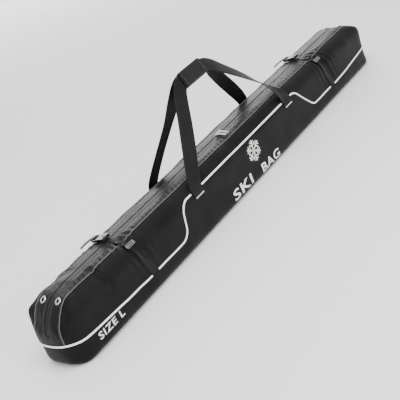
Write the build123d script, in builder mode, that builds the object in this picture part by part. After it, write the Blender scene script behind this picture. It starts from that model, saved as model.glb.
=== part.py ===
from build123d import *
import math
import os

# Long ski bag. X runs along the bag, the front is -Y, Z is up, and the origin is
# the middle of the flat bottom. All sizes are in millimetres.

# Bag shell
bag_length = 1900
bag_width = 190
bag_height = 192
wall = 3
bottom_radius = 28
side_height = 136        # the straight sides end here and the shoulders begin
gusset_width = 104       # strip with the zip, between the two seams
crown = 6                # rise of the gusset from its seams to its middle
end_reach = 130          # rounded end, along the bag
end_base = 50            # height where the rounded end begins
end_overshoot = 8        # the end's curve meets the crown at an angle, not flat
foot_radius = 44         # bottom edge of each end
plan_bulge = 64          # how far the ends stand out from their corners, seen from above
plan_margin = 4          # the outline seen from above is this much wider than the sides
end_margin = 2           # and the one seen from the front this much longer than the ends
base_length = 1828       # flat bottom panel
base_width = 144

# Seams and piping
piping_width = 6
piping_height = 1.6
piping_end_z = 76
piping_low_z = 57
piping_high_z = 157
piping_low_x = 620
near_rise = (-407, -380)  # foot and head of the S-bend on the near half
far_rise = (445, 345)
piping_bend = 28         # radius of the corners of the S-bends
seam_cord_width = 2.6
seam_cord_height = 1.5
trim_gap = 0.2           # raised trim lies this far off the fabric
cut_gap = 0.4            # trim stops this far from what crosses it
swing_room = 9           # and this far from a handle, which swings down over it

# Zip
chain_width = 6
chain_rise = 0           # the straps pass close over it
zip_end_z = 108
stop_size = (14, 9)
stop_height = 1.8
slider_size = (14, 11, 3.4)
slider_gap = 0.3
slider_clear = 5         # free run left between a slider and a strap
bail_height = 3.4
bail_rod = 1.6
tab_length = 38
tab_width = 7
tab_thickness = 1.8
tab_slope = 9            # degrees that the resting tab points below level
pin_clearance = 0.35

# Eyelets
eyelet_inset = 72        # from the end of the bag
eyelet_spread = 62
eyelet_bore = 10
eyelet_barrel = 12
eyelet_flange = 22
flange_thickness = 1.2
flange_lift = 0.6

# Compression straps and buckles
strap_width = 25
strap_thickness = 2
near_strap_x = -612
far_strap_x = 572
strap_slant = 28         # the foot of each strap stands this far towards +X
buckle_width = 34
buckle_thickness = 9
female_length = 34
male_length = 20
prong_length = 24
prong_width = 5
buckle_wall = 2
buckle_start_y = 3
buckle_tilt = 8
buckle_gap = 0.4
tail_length = 52
tail_turn = 48           # degrees that the tail swings towards the near end
adjuster_size = (34, 14, 2.4)
adjuster_angle = 50      # place on the shoulder's arc

# Handles
handle_x = 291
handle_width = 50
handle_thickness = 2.5
handle_foot_z = 132
handle_pivot_z = 160
foot_drop = 3            # the sewn foot ends this far below the fold
handle_middle_x = -12
handle_grip_z = 426
handle_lean = 22         # the grip leans back, in degrees
grip_length = 128
grip_spread = 16
wrap_length = 120
wrap_wall = 2.4
wrap_gap = 0.3
wrap_room = 0.8          # between the webbing's edges and the sleeve
grip_y = -3
bend_drop = 8            # the loop bends this far below the grip
tack_length = 42
tack_z = 137
tack_width = 2.6
tack_height = 1

# Values that follow from those above
half_length = bag_length / 2
half_width = bag_width / 2
half_gusset = gusset_width / 2
seam_z = bag_height - crown
tip_x = half_length + end_margin
end_drop = bag_height + end_overshoot - end_base
strap_top = trim_gap + strap_thickness
reach = 2 * bag_length   # longer than anything it cuts


def shoulder_circle():
    """Centre (y, z) and radius of the arc from the side up to the gusset seam."""
    run = half_width - half_gusset
    rise = seam_z - side_height
    radius = (run**2 + rise**2) / (2 * run)
    return half_width - radius, side_height, radius


def end_circle():
    """Centre (x, z) and radius of the arc that rounds the far end of the bag."""
    radius = (end_reach**2 + end_drop**2) / (2 * end_reach)
    return tip_x - radius, end_base, radius


def shoulder_y(height, lift=0.0):
    """Half width of the bag at a height on the shoulder, with the surface lifted."""
    centre_y, centre_z, radius = shoulder_circle()
    return centre_y + math.sqrt((radius + lift) ** 2 - (height - centre_z) ** 2)


def crown_circle():
    """Centre height and radius of the gusset's arc; its centre is at y = 0."""
    radius = (half_gusset**2 + crown**2) / (2 * crown)
    return bag_height - radius, radius


def bag_form(lift):
    """The whole bag as one closed solid, its surface lifted by an amount."""
    with BuildPart() as form:
        with BuildSketch(Plane.YZ.offset(-reach / 2)):
            with BuildLine():
                Line((0, 0), (half_width - bottom_radius, 0))
                TangentArc((half_width - bottom_radius, 0), (half_width, bottom_radius), tangent=(1, 0))
                Line((half_width, bottom_radius), (half_width, side_height))
                TangentArc((half_width, side_height), (half_gusset, seam_z), tangent=(0, 1))
                mirror(about=Plane.YZ)
                ThreePointArc((half_gusset, seam_z), (0, bag_height), (-half_gusset, seam_z))
            make_face()
            if lift:
                offset(amount=lift, mode=Mode.REPLACE)
        extrude(amount=reach)
        with BuildSketch(Plane.XZ) as profile:
            with BuildLine():
                Line((0, 0), (tip_x - foot_radius, 0))
                TangentArc((tip_x - foot_radius, 0), (tip_x, foot_radius), tangent=(1, 0))
                Line((tip_x, foot_radius), (tip_x, end_base))
                TangentArc((tip_x, end_base), (tip_x - end_reach, end_base + end_drop), tangent=(0, 1))
                Line((tip_x - end_reach, end_base + end_drop), (0, end_base + end_drop))
                mirror(about=Plane.YZ)
            make_face()
            if lift:
                offset(amount=lift, mode=Mode.REPLACE)
        extrude(amount=bag_width, both=True, mode=Mode.INTERSECT)
        with BuildSketch(Plane.XY):
            with BuildLine():
                corner_x = half_length - plan_bulge
                corner_y = half_width + plan_margin
                Line((-corner_x, corner_y), (corner_x, corner_y))
                ThreePointArc((corner_x, corner_y), (half_length, 0), (corner_x, -corner_y))
                Line((corner_x, -corner_y), (-corner_x, -corner_y))
                ThreePointArc((-corner_x, -corner_y), (-half_length, 0), (-corner_x, corner_y))
            make_face()
            if lift:
                offset(amount=lift, mode=Mode.REPLACE)
        extrude(amount=bag_length, both=True, mode=Mode.INTERSECT)
    return form.part


def piping_route():
    """The wavy seam between the lower panel and the panels above it."""
    return FilletPolyline(
        (-bag_length, piping_end_z),
        (-half_length, piping_end_z),
        (-piping_low_x, piping_low_z),
        (near_rise[0], piping_low_z),
        (near_rise[1], piping_high_z),
        (far_rise[1], piping_high_z),
        (far_rise[0], piping_low_z),
        (piping_low_x, piping_low_z),
        (half_length, piping_end_z),
        (bag_length, piping_end_z),
        radius=piping_bend,
    )


def below_piping(grow):
    """Everything under the piping's route, with its edge moved out by an amount."""
    with BuildPart() as region:
        with BuildSketch(Plane.XZ):
            with BuildLine():
                route = piping_route()
                Polyline(route @ 1, (bag_length, -bag_length), (-bag_length, -bag_length), route @ 0)
            make_face()
            if grow:
                offset(amount=grow, mode=Mode.REPLACE)
        extrude(amount=bag_width, both=True)
    return region.part


def slab(y_from, y_to, z_from=-bag_length, z_to=bag_length, x_from=-bag_length, x_to=bag_length):
    """A plain block between pairs of limits, used to cut the panels apart."""
    with BuildPart() as block:
        with BuildSketch(Plane.XY.offset(z_from)):
            with Locations(((x_from + x_to) / 2, (y_from + y_to) / 2)):
                Rectangle(x_to - x_from, y_to - y_from)
        extrude(amount=z_to - z_from)
    return block.part


def layer(low, high):
    """A skin around the bag: the solids at its outer and its inner surface."""
    return bag_form(high), bag_form(low)


def cut_piece(skin, keep, remove=()):
    """The part of a skin inside every block of one list and outside those of another."""
    outer, inner = skin
    with BuildPart() as piece:
        add(outer)
        for block in keep:
            add(block, mode=Mode.INTERSECT)
        for block in remove:
            add(block, mode=Mode.SUBTRACT)
        add(inner, mode=Mode.SUBTRACT)
    return piece.part


def strap_prism(x, side, width):
    """Slanted band that a compression strap covers on one side of the bag."""
    foot = x + strap_slant
    with BuildPart() as prism:
        with BuildSketch(Plane.XZ):
            with BuildLine():
                Polyline(
                    (foot - width / 2, -bag_width),
                    (foot - width / 2, piping_low_z),
                    (x - width / 2, seam_z),
                    (x - width / 2, bag_length),
                    (x + width / 2, bag_length),
                    (x + width / 2, seam_z),
                    (foot + width / 2, piping_low_z),
                    (foot + width / 2, -bag_width),
                    close=True,
                )
            make_face()
        extrude(amount=-side * bag_width)
    return prism.part


def save(part, name):
    part.label = name
    export_step(part, f"parts/{name}.step")


os.makedirs("parts", exist_ok=True)

# Skins that the fabric, the trim and the webbing are cut from
fabric_skin = layer(-wall, 0)
piping_skin = layer(trim_gap, trim_gap + piping_height)
cord_skin = layer(trim_gap, trim_gap + seam_cord_height)
strap_skin = layer(trim_gap, strap_top)
handle_skin = layer(trim_gap, trim_gap + handle_thickness)
lower_region = below_piping(0)
zip_slot = slab(-chain_width / 2, chain_width / 2, z_from=zip_end_z)

strap_stations = {"near": near_strap_x, "far": far_strap_x}
sides = {"front": -1, "back": 1}


# Eyelets: one each side of the zip on both ends
def eyelet_planes():
    """A plane on the end's curve for each eyelet, with Z pointing out of the bag."""
    centre_x, centre_z, radius = end_circle()
    x = half_length - eyelet_inset
    rise = math.sqrt(radius**2 - (x - centre_x) ** 2)
    for end in (-1, 1):
        for row in (-1, 1):
            yield Plane(
                origin=(end * x, row * eyelet_spread / 2, centre_z + rise),
                x_dir=(0, 1, 0),
                z_dir=(end * (x - centre_x), 0, rise),
            )


barrel_depth = wall + flange_thickness + 2 * flange_lift
with BuildPart() as eyelet_holes:
    for plane in eyelet_planes():
        with BuildSketch(plane.offset(bottom_radius)):
            Circle(eyelet_barrel / 2 + pin_clearance)
        extrude(amount=-2 * bottom_radius)

with BuildPart() as eyelet_grommets:
    for plane in eyelet_planes():
        with BuildSketch(plane.offset(flange_lift)):
            Circle(eyelet_flange / 2)
            Circle(eyelet_bore / 2, mode=Mode.SUBTRACT)
        extrude(amount=flange_thickness)
        with BuildSketch(plane.offset(flange_lift)):
            Circle(eyelet_barrel / 2)
            Circle(eyelet_bore / 2, mode=Mode.SUBTRACT)
        extrude(amount=-barrel_depth)
save(eyelet_grommets.part, "eyelet_grommets")

with BuildPart() as eyelet_washers:
    for plane in eyelet_planes():
        with BuildSketch(plane.offset(-wall - 2 * flange_lift)):
            Circle(eyelet_flange / 2 - 1)
            Circle(eyelet_barrel / 2 + trim_gap, mode=Mode.SUBTRACT)
        extrude(amount=-flange_thickness)
save(eyelet_washers.part, "eyelet_washers")


# Fabric panels
with BuildPart() as base_panel:
    with BuildSketch():
        Rectangle(base_length, base_width)
    extrude(amount=wall)
save(base_panel.part, "base_panel")
base_y = base_width / 2 + trim_gap
base_x = base_length / 2 + trim_gap
base_opening = slab(-base_y, base_y, -wall, 2 * wall, -base_x, base_x)
save(cut_piece(fabric_skin, [lower_region], [base_opening]), "lower_panel")
for name, side in sides.items():
    inner_edge, outer_edge = side * half_gusset, side * bag_width
    outside = slab(min(inner_edge, outer_edge), max(inner_edge, outer_edge))
    save(cut_piece(fabric_skin, [outside], [lower_region]), f"{name}_side_panel")
    inside = slab(min(0, inner_edge), max(0, inner_edge))
    gusset = cut_piece(fabric_skin, [inside], [lower_region, zip_slot, eyelet_holes.part])
    save(gusset, f"{name}_gusset")


# Zip chain, let in between the gusset's halves, and the stop at each end of it
chain_half = chain_width / 2 - trim_gap
chain_block = slab(-chain_half, chain_half, z_from=zip_end_z + trim_gap)
save(cut_piece(layer(-wall, chain_rise), [chain_block]), "zip_chain")
stop_block = slab(
    -stop_size[0] / 2, stop_size[0] / 2, zip_end_z - stop_size[1], zip_end_z - cut_gap
)
save(cut_piece(layer(trim_gap, trim_gap + stop_height), [stop_block]), "zip_end_stops")


# Where webbing crosses the piping and the seams, the trim is interrupted
def crossings(gap):
    blocks = []
    for x in strap_stations.values():
        for side in sides.values():
            blocks.append(strap_prism(x, side, strap_width + 2 * gap))
    for end in (-1, 1):
        reach_x = handle_width / 2 + swing_room
        blocks.append(
            slab(-bag_width, bag_width, handle_foot_z - gap, seam_z - bottom_radius / 2,
                 end * handle_x - reach_x, end * handle_x + reach_x)
        )
    return blocks


webbing_blocks = crossings(cut_gap)
piping_limits = [below_piping(-piping_width / 2)] + webbing_blocks
piping_region = below_piping(piping_width / 2)
near_foot_x = near_strap_x + strap_slant
far_foot_x = far_strap_x + strap_slant
near_end = slab(-bag_width, bag_width, x_to=near_foot_x)
far_end = slab(-bag_width, bag_width, x_from=far_foot_x)
save(cut_piece(piping_skin, [piping_region, near_end], piping_limits), "near_end_piping")
save(cut_piece(piping_skin, [piping_region, far_end], piping_limits), "far_end_piping")
for name, side in sides.items():
    half = slab(min(0, side * bag_width), max(0, side * bag_width), x_from=near_foot_x, x_to=far_foot_x)
    save(cut_piece(piping_skin, [piping_region, half], piping_limits), f"{name}_piping")
    seam_from = side * half_gusset - seam_cord_width / 2
    seam_to = side * half_gusset + seam_cord_width / 2
    cord_limits = [below_piping(piping_width / 2 + cut_gap)] + webbing_blocks
    save(cut_piece(cord_skin, [slab(seam_from, seam_to)], cord_limits), f"{name}_seam_cord")


# Compression straps, each with a buckle on the back half of the gusset
def buckle_plane(x):
    """Plane under a buckle: its X runs backwards over the bag, its Z points up."""
    tilt = math.radians(buckle_tilt)
    centre_z, radius = crown_circle()
    rest = radius + strap_top + buckle_gap
    start_z = centre_z + (rest - buckle_start_y * math.sin(tilt)) / math.cos(tilt)
    return Plane(
        origin=(x, buckle_start_y, start_z),
        x_dir=(0, math.cos(tilt), -math.sin(tilt)),
        z_dir=(0, math.sin(tilt), math.cos(tilt)),
    )


for name, x in strap_stations.items():
    seam_line = piping_low_z + piping_width / 2
    front_end = buckle_start_y + female_length - 2
    back_start = front_end + 4
    half_strap = strap_width / 2
    front_side = slab(-bag_width, 0, seam_line)
    over_top = slab(0, front_end, seam_z - crown, bag_length, x - half_strap, x + half_strap)
    with BuildPart() as strap_front:
        add(cut_piece(strap_skin, [strap_prism(x, -1, strap_width), front_side]))
        add(cut_piece(strap_skin, [over_top]))
    save(strap_front.part, f"{name}_strap_front")
    back_side = slab(back_start, bag_width, seam_line)
    save(cut_piece(strap_skin, [strap_prism(x, 1, strap_width), back_side]), f"{name}_strap_back")

    plane = buckle_plane(x)
    mid_height = buckle_thickness / 2
    cavity_width = buckle_width - 4 * buckle_wall
    cavity_height = buckle_thickness - 2 * buckle_wall
    with BuildPart() as buckle_female:
        with BuildSketch(plane):
            with Locations((female_length / 2, 0)):
                RectangleRounded(female_length, buckle_width, 4)
            with Locations((buckle_wall + 3, 0)):
                Rectangle(4, strap_width + 1, mode=Mode.SUBTRACT)
        extrude(amount=buckle_thickness)
        with BuildSketch(plane.offset(mid_height - cavity_height / 2)):
            with Locations((female_length, 0)):
                Rectangle(2 * (prong_length + 1), cavity_width)
        extrude(amount=cavity_height, mode=Mode.SUBTRACT)
        with BuildSketch(plane.offset(mid_height - cavity_height / 2)):
            with Locations((female_length - prong_length / 2, 0)):
                Rectangle(prong_length / 2, 2 * buckle_width)
        extrude(amount=cavity_height, mode=Mode.SUBTRACT)
        edges_up = buckle_female.edges().filter_by(lambda e: e.length > female_length / 2).group_by(Axis.Z)[-1]
        chamfer(edges_up, buckle_wall / 4)
    save(buckle_female.part, f"{name}_buckle_female")

    prong_height = cavity_height - 2 * buckle_gap
    prong_y = cavity_width / 2 - buckle_gap - prong_width / 2
    with BuildPart() as buckle_male:
        with BuildSketch(plane.offset(1)):
            with Locations((female_length + buckle_gap + male_length / 2, 0)):
                RectangleRounded(male_length, buckle_width, 4)
            for slot_x in (6, 13):
                with Locations((female_length + slot_x, 0)):
                    Rectangle(3, strap_width + 1, mode=Mode.SUBTRACT)
        extrude(amount=buckle_thickness - 2)
        with BuildSketch(plane.offset(mid_height - prong_height / 2)):
            with Locations((female_length + 1 - prong_length / 2, -prong_y),
                           (female_length + 1 - prong_length / 2, prong_y)):
                Rectangle(prong_length, prong_width)
            with Locations((female_length + 1 - prong_length / 3, 0)):
                Rectangle(prong_length * 2 / 3, prong_width)
        extrude(amount=prong_height)
    save(buckle_male.part, f"{name}_buckle_male")

    tail_start = female_length + male_length
    tail_plane = plane.offset(buckle_thickness)
    with BuildPart() as strap_tail:
        with BuildSketch(tail_plane):
            with BuildLine():
                bend = (tail_start - 4, 0)
                turn = math.radians(tail_turn)
                tip = (bend[0] + tail_length * math.cos(turn), tail_length * math.sin(turn))
                Polyline((female_length + 8, 0), bend, tip)
            trace(line_width=strap_width - 4)
        extrude(amount=strap_thickness)
    save(strap_tail.part, f"{name}_strap_tail")

    centre_y, centre_z, radius = shoulder_circle()
    angle = math.radians(adjuster_angle)
    height = radius + strap_top + buckle_gap
    share = (centre_z + height * math.sin(angle) - piping_low_z) / (seam_z - piping_low_z)
    adjuster_plane = Plane(
        origin=(
            x + strap_slant * (1 - share),
            -centre_y - height * math.cos(angle),
            centre_z + height * math.sin(angle),
        ),
        x_dir=(1, 0, 0),
        z_dir=(0, -math.cos(angle), math.sin(angle)),
    )
    with BuildPart() as adjuster:
        with BuildSketch(adjuster_plane):
            RectangleRounded(adjuster_size[0], adjuster_size[1], 3)
            with Locations((0, -adjuster_size[1] / 4), (0, adjuster_size[1] / 4)):
                Rectangle(strap_width + 1, 3, mode=Mode.SUBTRACT)
        extrude(amount=adjuster_size[2])
    save(adjuster.part, f"{name}_adjuster")


# Handles: each loop of webbing stands on two sewn feet and leans in to the other
for name, side in sides.items():
    with BuildPart() as feet:
        for end in (-1, 1):
            inner_edge, outer_edge = side * half_gusset, side * bag_width
            foot_block = slab(
                min(inner_edge, outer_edge), max(inner_edge, outer_edge),
                handle_foot_z, handle_pivot_z - foot_drop,
                end * handle_x - handle_width / 2, end * handle_x + handle_width / 2,
            )
            add(cut_piece(handle_skin, [foot_block]))
    save(feet.part, f"{name}_handle_feet")

tack_skin = layer(2 * trim_gap + handle_thickness, 2 * trim_gap + handle_thickness + tack_height)
with BuildPart() as tack_strips:
    for end in (-1, 1):
        for side in sides.values():
            inner_edge, outer_edge = side * half_gusset, side * bag_width
            tack_block = slab(
                min(inner_edge, outer_edge), max(inner_edge, outer_edge),
                tack_z - tack_width / 2, tack_z + tack_width / 2,
                end * handle_x - tack_length / 2, end * handle_x + tack_length / 2,
            )
            add(cut_piece(tack_skin, [tack_block]))
save(tack_strips.part, "handle_tack_strips")

lean = math.radians(handle_lean)
grip_rise = handle_width / 2 * math.cos(lean)
grip_back = handle_width / 2 * math.sin(lean)
loop_pitch = handle_thickness + wrap_gap + wrap_wall + 2 * trim_gap
loop_offset = loop_pitch / math.cos(lean)
pivot_y = shoulder_y(handle_pivot_z, trim_gap + handle_thickness / 2)


def handle_loop(side, grip_centre):
    """One loop: its outline seen from the front, cut by its bent profile seen from the end."""
    half_foot = handle_width / 2
    left_x = handle_middle_x - grip_length / 2
    right_x = handle_middle_x + grip_length / 2
    low_z = handle_grip_z - grip_rise
    high_z = handle_grip_z + grip_rise
    with BuildPart() as loop:
        with BuildSketch(Plane.XZ):
            with BuildLine():
                Polyline(
                    (-handle_x - half_foot, handle_pivot_z),
                    (left_x - grip_spread, high_z),
                    (right_x + grip_spread, high_z),
                    (handle_x + half_foot, handle_pivot_z),
                    (handle_x - half_foot, handle_pivot_z),
                    (right_x, low_z),
                    (left_x, low_z),
                    (half_foot - handle_x, handle_pivot_z),
                    close=True,
                )
            make_face()
        extrude(amount=bag_width, both=True)
        with BuildSketch(Plane.YZ.offset(-half_length)):
            with BuildLine():
                FilletPolyline(
                    (side * pivot_y, handle_pivot_z),
                    (grip_centre - grip_back - bend_drop * math.tan(lean), low_z - bend_drop),
                    (grip_centre + grip_back, high_z),
                    radius=handle_thickness * 3,
                )
            trace(line_width=handle_thickness)
        extrude(amount=bag_length, mode=Mode.INTERSECT)
    return loop.part


save(handle_loop(-1, grip_y), "front_handle_webbing")
save(handle_loop(1, grip_y + loop_offset), "back_handle_webbing")

wrap_plane = Plane(
    origin=(handle_middle_x - wrap_length / 2, grip_y, handle_grip_z),
    x_dir=(0, math.cos(lean), -math.sin(lean)),
    z_dir=(1, 0, 0),
)
with BuildPart() as handle_wrap:
    with BuildSketch(wrap_plane):
        core_x = handle_thickness + 2 * trim_gap
        core_y = handle_width + 2 * wrap_room
        RectangleRounded(core_x + 2 * wrap_wall, core_y + 2 * wrap_wall, wrap_wall)
        Rectangle(core_x, core_y, mode=Mode.SUBTRACT)
    extrude(amount=wrap_length)
save(handle_wrap.part, "handle_wrap")


# Zip sliders meet in the middle, and their pull tabs lie across the front half
slider_base = bag_height + chain_rise + slider_gap
rod_z = slider_base + slider_size[2] + bail_height
for name, end in (("near", -1), ("far", 1)):
    x = end * (slider_size[0] / 2 + 1)
    with BuildPart() as slider:
        with BuildSketch(Plane.XY.offset(slider_base)):
            with Locations((x, 0)):
                RectangleRounded(slider_size[0], slider_size[1], 3)
        extrude(amount=slider_size[2])
        with BuildSketch(Plane.XY.offset(slider_base + slider_size[2])):
            for foot in (-1, 1):
                with Locations((x + foot * (slider_size[0] / 2 - 1), 0)):
                    Rectangle(2, 3)
        extrude(amount=bail_height + bail_rod / 2)
        with BuildSketch(Plane.YZ.offset(x - slider_size[0] / 2)):
            with Locations((0, rod_z)):
                Circle(bail_rod / 2)
        extrude(amount=slider_size[0])
    save(slider.part, f"{name}_slider")

    slope = math.radians(tab_slope)
    tab_plane = Plane(
        origin=(x, 0, rod_z),
        x_dir=(0, -math.cos(slope), -math.sin(slope)),
        z_dir=(0, -math.sin(slope), math.cos(slope)),
    )
    with BuildPart() as tab:
        with BuildSketch(tab_plane.offset(-tab_thickness / 2)):
            with Locations((tab_length / 2, 0)):
                RectangleRounded(tab_length, tab_width, 3)
        extrude(amount=tab_thickness)
        with BuildSketch(Plane.YZ.offset(x - tab_width / 2)):
            with Locations((0, rod_z)):
                Circle(bail_rod / 2 + pin_clearance + 1)
        extrude(amount=tab_width)
        with BuildSketch(Plane.YZ.offset(x - slider_size[0])):
            with Locations((0, rod_z)):
                Circle(bail_rod / 2 + pin_clearance)
        extrude(amount=2 * slider_size[0], mode=Mode.SUBTRACT)
    save(tab.part, f"{name}_pull_tab")

print("handle pivot y", round(pivot_y, 3), "z", handle_pivot_z)
slider_outer = slider_size[0] + 1
for name, x in strap_stations.items():
    print(name, "slider travel", abs(x) - buckle_width / 2 - slider_outer - slider_clear)
for plane in eyelet_planes():
    print("eyelet", plane.origin, plane.z_dir)
print("bail rod z", rod_z)
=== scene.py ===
import math
import bmesh
import bpy
import numpy as np
from mathutils import Matrix, Vector


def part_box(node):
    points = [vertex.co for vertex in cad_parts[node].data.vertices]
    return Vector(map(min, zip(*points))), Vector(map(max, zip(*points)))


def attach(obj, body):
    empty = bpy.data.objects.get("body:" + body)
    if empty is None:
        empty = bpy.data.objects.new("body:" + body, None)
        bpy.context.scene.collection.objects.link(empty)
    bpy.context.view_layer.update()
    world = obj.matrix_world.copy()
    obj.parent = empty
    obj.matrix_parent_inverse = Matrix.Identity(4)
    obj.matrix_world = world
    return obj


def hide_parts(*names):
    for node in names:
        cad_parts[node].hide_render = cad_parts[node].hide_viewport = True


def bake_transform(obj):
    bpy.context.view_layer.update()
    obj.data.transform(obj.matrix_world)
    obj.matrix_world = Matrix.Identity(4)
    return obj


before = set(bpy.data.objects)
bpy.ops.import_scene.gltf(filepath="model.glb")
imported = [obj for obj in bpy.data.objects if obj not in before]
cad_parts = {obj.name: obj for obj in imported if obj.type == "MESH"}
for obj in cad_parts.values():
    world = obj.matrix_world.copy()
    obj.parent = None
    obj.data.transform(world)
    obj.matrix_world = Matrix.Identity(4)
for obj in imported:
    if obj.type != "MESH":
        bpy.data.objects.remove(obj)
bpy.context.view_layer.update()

mm = 0.001          # shapes are worked out in millimetres, and meshes are in metres
front, back = -1, 1


def nodeCorners(nodeName):
    return [np.array(corner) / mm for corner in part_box(nodeName)]


# Materials
def srgb(code):
    channels = [int(code[start:start + 2], 16) / 255 for start in (1, 3, 5)]
    linear = [c / 12.92 if c <= 0.04045 else ((c + 0.055) / 1.055) ** 2.4 for c in channels]
    return (*linear, 1)


def addNode(tree, kind, inputs=None, **settings):
    made = tree.nodes.new(kind)
    for key, value in settings.items():
        setattr(made, key, value)
    for key, value in (inputs or {}).items():
        if isinstance(value, bpy.types.NodeSocket):
            tree.links.new(value, made.inputs[key])
        else:
            made.inputs[key].default_value = value
    return made


def startMaterial(name, **sockets):
    material = bpy.data.materials.new(name)
    material.use_nodes = True
    tree = material.node_tree
    surface = tree.nodes["Principled BSDF"]
    for key, value in sockets.items():
        surface.inputs[key.replace("_", " ")].default_value = value
    return material, tree, surface


def waveScale(spacing):
    return math.pi / 10 / (spacing * mm)      # wave texture scale that repeats every spacing


def mixColours(tree, share, low, high):
    ramp = addNode(tree, "ShaderNodeValToRGB", {"Fac": share})
    ramp.color_ramp.elements[0].color = srgb(low)
    ramp.color_ramp.elements[1].color = srgb(high)
    return ramp


def wovenCloth(name, low, high, spacings, bumpDepth, **sockets):
    material, tree, surface = startMaterial(name, **sockets)
    cloth = addNode(tree, "ShaderNodeUVMap", uv_map="cloth").outputs["UV"]
    place = addNode(tree, "ShaderNodeTexCoord").outputs["Object"]
    threads = [addNode(tree, "ShaderNodeTexWave", {"Vector": cloth, "Scale": waveScale(spacing)},
                       bands_direction=direction).outputs["Fac"]
               for spacing, direction in zip(spacings, "XY")]
    weave = addNode(tree, "ShaderNodeMix", {"Factor": 0.5, "A": threads[0], "B": threads[1]}).outputs["Result"]
    wear = addNode(tree, "ShaderNodeTexNoise", {"Vector": place, "Scale": 9, "Detail": 5, "Roughness": 0.6})
    lint = addNode(tree, "ShaderNodeTexNoise", {"Vector": place, "Scale": 240, "Detail": 2})
    shade = addNode(tree, "ShaderNodeMix", {"Factor": 0.3, "A": wear.outputs["Fac"],
                                             "B": lint.outputs["Fac"]}).outputs["Result"]
    colours = mixColours(tree, shade, low, high)
    colours.color_ramp.elements[0].position = 0.36
    colours.color_ramp.elements[1].position = 0.66
    bump = addNode(tree, "ShaderNodeBump", {"Strength": 0.55, "Distance": bumpDepth * mm, "Height": weave})
    tree.links.new(colours.outputs["Color"], surface.inputs["Base Color"])
    tree.links.new(bump.outputs["Normal"], surface.inputs["Normal"])
    return material


def moulded(name, colour, grain, grainSize, **sockets):
    # one colour with a fine unevenness of that depth, in millimetres
    material, tree, surface = startMaterial(name, Base_Color=srgb(colour), **sockets)
    place = addNode(tree, "ShaderNodeTexCoord").outputs["Object"]
    noise = addNode(tree, "ShaderNodeTexNoise", {"Vector": place, "Scale": 1 / (grainSize * mm), "Detail": 3})
    bump = addNode(tree, "ShaderNodeBump", {"Strength": 0.5, "Distance": grain * mm, "Height": noise.outputs["Fac"]})
    tree.links.new(bump.outputs["Normal"], surface.inputs["Normal"])
    return material


# Polyester oxford, piece dyed: dull warm black that greys a little across the folds.
# Its threads are drawn 1.3 mm apart, twice as coarse as real, so that they show
shellCloth = wovenCloth("polyesterOxford", "#090808", "#161413", (1.3, 1.3), 0.25, Roughness=0.52,
                        Specular_IOR_Level=0.1, Sheen_Weight=0.02, Sheen_Roughness=0.5)
# The gusset's cloth has a smoother coated face, so that it catches the light from behind
gussetCloth = wovenCloth("coatedPolyester", "#0b0a0a", "#191616", (1.3, 1.3), 0.2, Roughness=0.43,
                         Specular_IOR_Level=0.16, Sheen_Weight=0.02, Sheen_Roughness=0.4)
# Woven polypropylene: coarse ribs along it, finer ones across, and a slight waxy shine
webbing = wovenCloth("polypropyleneWebbing", "#080708", "#151314", (2.4, 1.5), 0.5, Roughness=0.44,
                     Specular_IOR_Level=0.16, Sheen_Weight=0.02, Sheen_Roughness=0.4)
# Brushed tricot over foam: soft, dull, with a broad sheen
wrapCloth = wovenCloth("brushedTricot", "#0b0a0b", "#181617", (1.0, 1.0), 0.18, Roughness=0.6,
                       Specular_IOR_Level=0.14, Sheen_Weight=0.04, Sheen_Roughness=0.6)
pipingVinyl = moulded("whiteVinylPiping", "#f6f5f2", 0.05, 3, Roughness=0.38)
cordVinyl = moulded("greySeamCord", "#5f5d5b", 0.05, 2, Roughness=0.5)
coilNylon = moulded("nylonZipCoil", "#161516", 0.02, 1, Roughness=0.32)
# Injection-moulded acetal: hard gloss with a very fine spark texture
acetal = moulded("blackAcetal", "#090909", 0.02, 0.8, Roughness=0.3, Specular_IOR_Level=0.35)
greyAcetal = moulded("greyAcetal", "#6b6967", 0.02, 0.8, Roughness=0.32)
tabRubber = moulded("greyPullRubber", "#c9c7c3", 0.03, 1, Roughness=0.5)
# Nickel plate over brass, polished by handling
nickel = moulded("nickelPlate", "#c9c8c6", 0.01, 2, Roughness=0.2, Metallic=1.0)
stitchThread = moulded("greyStitchThread", "#6f6c69", 0.1, 0.5, Roughness=0.65)
tackThread = moulded("whiteTackThread", "#e4e1dc", 0.1, 0.5, Roughness=0.65)
# Screen-printed plastisol ink: opaque white, slightly satin
printInk = moulded("whitePrintInk", "#e8e6e2", 0.04, 1.3, Roughness=0.5)


# The bag's surface
shell = {
    "halfLength": nodeCorners("lower_panel")[1][0],
    "halfWidth": nodeCorners("lower_panel")[1][1],
    "height": nodeCorners("front_gusset")[1][2],
    "halfGusset": -nodeCorners("front_gusset")[0][1],
    "crown": 6,
    "sideHeight": 136,
    "bottomRadius": 28,
    "endReach": 130,
    "endBase": 50,
    "overshoot": 8,
    "footRadius": 44,
    "planBulge": 64,
    "planMargin": 4,
    "tipMargin": 2,
    "softness": 13,          # how far the edges between the faces are rounded over
    "thickness": 2,
}
piping = {
    "lowZ": 57,
    "highZ": 157,
    "endZ": 76,
    "lowX": 620,
    "nearRise": (-407, -380),
    "farRise": (445, 345),
    "bend": 44,
    "halfWidth": 3,
    "rise": 3.4,
    "handleGap": 5,
    "strapGap": 0.3,
}
straps = {
    "near": {"x": -612, "slant": 28},
    "far": {"x": 572, "slant": 28},
}
pivotX = 820        # past this the cross-sections fan out around a level line
pivotZ = piping["lowZ"] + (pivotX - piping["lowX"]) * (piping["endZ"] - piping["lowZ"]) / (
    shell["halfLength"] - piping["lowX"])
pipingTurn = math.atan2(shell["halfLength"] - pivotX, piping["endZ"] - pivotZ)

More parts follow.
